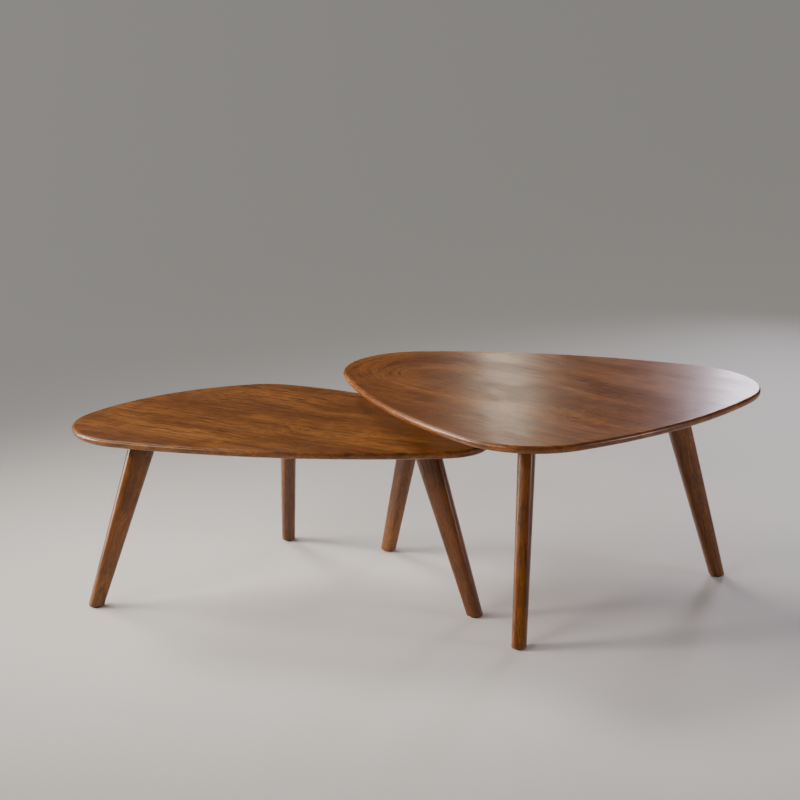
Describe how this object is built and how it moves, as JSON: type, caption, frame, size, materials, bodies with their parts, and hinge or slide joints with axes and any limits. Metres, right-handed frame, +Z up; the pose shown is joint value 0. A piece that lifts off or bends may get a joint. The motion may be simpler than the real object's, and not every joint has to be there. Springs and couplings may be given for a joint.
{
  "type": "nesting tables",
  "caption": "Pair of nesting tables with rounded three-cornered walnut tops on splayed tapered legs; the low table slides under the tall one.",
  "frame": {"origin": "On the floor under the middle of the box round both tables as they stand, partly nested", "axes": "+Z up, -Y towards the tables' front, +X towards the tall table; metres"},
  "size_m": [1.4625, 0.784, 0.45],
  "materials": {
    "tall_walnut": "satin lacquered walnut veneer, reddish brown",
    "low_walnut": "satin lacquered walnut veneer, warm brown",
    "leg_walnut": "satin lacquered solid walnut, grain along the leg",
    "plate_steel": "satin black powder coat",
    "zinc_steel": "bright zinc plated",
    "insert_brass": "machined brass",
    "glide_nylon": "matte dark brown nylon"
  },
  "bodies": {
    "tall_table": {"tall_top": "tall_walnut", "tall_leg_back": "leg_walnut", "tall_plate_back": "plate_steel", "tall_plate_bolt_back_1": "zinc_steel", "tall_plate_bolt_back_2": "zinc_steel", "tall_insert_back_1": "insert_brass", "tall_insert_back_2": "insert_brass", "tall_leg_screw_back_1": "zinc_steel", "tall_leg_screw_back_2": "zinc_steel", "tall_glide_back": "glide_nylon", "tall_leg_front": "leg_walnut", "tall_plate_front": "plate_steel", "tall_plate_bolt_front_1": "zinc_steel", "tall_plate_bolt_front_2": "zinc_steel", "tall_insert_front_1": "insert_brass", "tall_insert_front_2": "insert_brass", "tall_leg_screw_front_1": "zinc_steel", "tall_leg_screw_front_2": "zinc_steel", "tall_glide_front": "glide_nylon", "tall_leg_right": "leg_walnut", "tall_plate_right": "plate_steel", "tall_plate_bolt_right_1": "zinc_steel", "tall_plate_bolt_right_2": "zinc_steel", "tall_insert_right_1": "insert_brass", "tall_insert_right_2": "insert_brass", "tall_leg_screw_right_1": "zinc_steel", "tall_leg_screw_right_2": "zinc_steel", "tall_glide_right": "glide_nylon"},
    "low_table": {"low_top": "low_walnut", "low_leg_left": "leg_walnut", "low_plate_left": "plate_steel", "low_plate_bolt_left_1": "zinc_steel", "low_plate_bolt_left_2": "zinc_steel", "low_insert_left_1": "insert_brass", "low_insert_left_2": "insert_brass", "low_leg_screw_left_1": "zinc_steel", "low_leg_screw_left_2": "zinc_steel", "low_glide_left": "glide_nylon", "low_leg_right": "leg_walnut", "low_plate_right": "plate_steel", "low_plate_bolt_right_1": "zinc_steel", "low_plate_bolt_right_2": "zinc_steel", "low_insert_right_1": "insert_brass", "low_insert_right_2": "insert_brass", "low_leg_screw_right_1": "zinc_steel", "low_leg_screw_right_2": "zinc_steel", "low_glide_right": "glide_nylon", "low_leg_back": "leg_walnut", "low_plate_back": "plate_steel", "low_plate_bolt_back_1": "zinc_steel", "low_plate_bolt_back_2": "zinc_steel", "low_insert_back_1": "insert_brass", "low_insert_back_2": "insert_brass", "low_leg_screw_back_1": "zinc_steel", "low_leg_screw_back_2": "zinc_steel", "low_glide_back": "glide_nylon"}
  },
  "joints": [
    {"name": "nest_slide", "type": "slide", "parent": "tall_table", "child": "low_table", "axis": [-0.9877, 0.1564, 0], "range_m": [-0.03, 0.45]}
  ]
}
